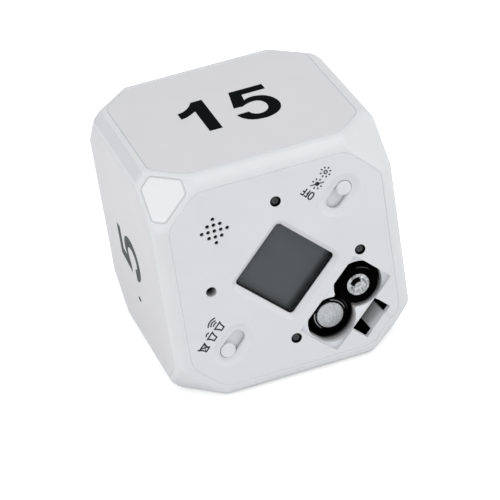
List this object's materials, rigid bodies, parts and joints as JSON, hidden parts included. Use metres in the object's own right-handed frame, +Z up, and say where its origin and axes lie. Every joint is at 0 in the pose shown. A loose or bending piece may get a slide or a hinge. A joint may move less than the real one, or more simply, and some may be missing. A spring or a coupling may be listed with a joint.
{
  "type": "cube timer",
  "caption": "Cube-shaped kitchen timer with bevelled edges, a time on each number face, a square display, sliding switches and an open battery bay.",
  "frame": {"origin": "centre of the bottom face, at the level that the cube stands on", "axes": "+Z up out of the top number face, -Y out of the control face, +X out of the right number face"},
  "size_m": [0.0636, 0.0636, 0.0635],
  "materials": {
    "housing_white": "moulded white plastic, satin",
    "cover_white": "moulded white plastic, satin",
    "plate_white": "moulded white plastic with a printed time",
    "lens_white": "milky white diffuser",
    "clear_plastic": "clear plastic pane",
    "shade_black": "matt black",
    "panel_grey": "dark grey liquid crystal panel, switched off",
    "rubber_grey": "conductive rubber",
    "board_green": "green circuit board laminate",
    "chip_black": "moulded chip package",
    "crystal_metal": "drawn can",
    "capacitor_blue": "printed sleeve",
    "screw_black": "blackened steel",
    "screw_zinc": "zinc plated",
    "switch_metal": "pressed steel can",
    "lever_black": "black nylon",
    "speaker_black": "black frame",
    "diaphragm_film": "formed film",
    "magnet_metal": "plated magnet",
    "cell_steel": "nickel plated steel",
    "sleeve_black": "shrunk black film",
    "contact_metal": "nickel plated spring steel",
    "wire_red": "red insulation",
    "wire_black": "black insulation",
    "lamp_clear": "tinted epoxy"
  },
  "bodies": {
    "case": {"housing": "housing_white", "front_cover": "cover_white", "top_number_plate": "plate_white", "bottom_number_plate": "plate_white", "left_number_plate": "plate_white", "right_number_plate": "plate_white", "rear_plate": "plate_white", "right_cover_screw": "screw_black", "top_cover_screw": "screw_black", "bottom_cover_screw": "screw_black", "left_cover_screw": "screw_black", "corner_lens": "lens_white", "signal_lamp": "lamp_clear", "left_lamp_lead": "contact_metal", "right_lamp_lead": "contact_metal", "display_window": "clear_plastic", "display_frame": "shade_black", "display_panel": "panel_grey", "upper_display_connector": "rubber_grey", "lower_display_connector": "rubber_grey", "main_board": "board_green", "right_board_screw": "screw_zinc", "top_board_screw": "screw_zinc", "bottom_board_screw": "screw_zinc", "left_board_screw": "screw_zinc", "controller_chip": "chip_black", "gravity_sensor": "chip_black", "clock_crystal": "crystal_metal", "upper_capacitor": "capacitor_blue", "lower_capacitor": "capacitor_blue", "light_switch_body": "switch_metal", "volume_switch_body": "switch_metal", "speaker_basket": "speaker_black", "speaker_diaphragm": "diaphragm_film", "speaker_magnet": "magnet_metal", "red_speaker_wire": "wire_red", "black_speaker_wire": "wire_black", "battery_holder": "shade_black", "spring_contact_plate": "contact_metal", "flat_contact_plate": "contact_metal", "contact_spring": "contact_metal", "red_battery_wire": "wire_red", "black_battery_wire": "wire_black"},
    "light_slider": {"light_knob": "cover_white", "light_switch_lever": "lever_black"},
    "volume_slider": {"volume_knob": "cover_white", "volume_switch_lever": "lever_black"},
    "right_cell": {"right_cell_can": "cell_steel", "right_cell_end_cap": "cell_steel", "right_cell_sleeve": "sleeve_black"},
    "left_cell": {"left_cell_can": "cell_steel", "left_cell_end_cap": "cell_steel", "left_cell_sleeve": "sleeve_black"}
  },
  "joints": [
    {"name": "light_switch_slide", "type": "slide", "parent": "case", "child": "light_slider", "axis": [0.7071, 0, 0.7071], "range_m": [-0.0041, 0]},
    {"name": "volume_switch_slide", "type": "slide", "parent": "case", "child": "volume_slider", "axis": [0.7071, 0, 0.7071], "range_m": [0, 0.0041]},
    {"name": "right_cell_lift_out", "type": "slide", "parent": "case", "child": "right_cell", "axis": [0, -1, 0], "range_m": [0, 0.047]},
    {"name": "left_cell_lift_out", "type": "slide", "parent": "case", "child": "left_cell", "axis": [0, -1, 0], "range_m": [0, 0.049]}
  ]
}
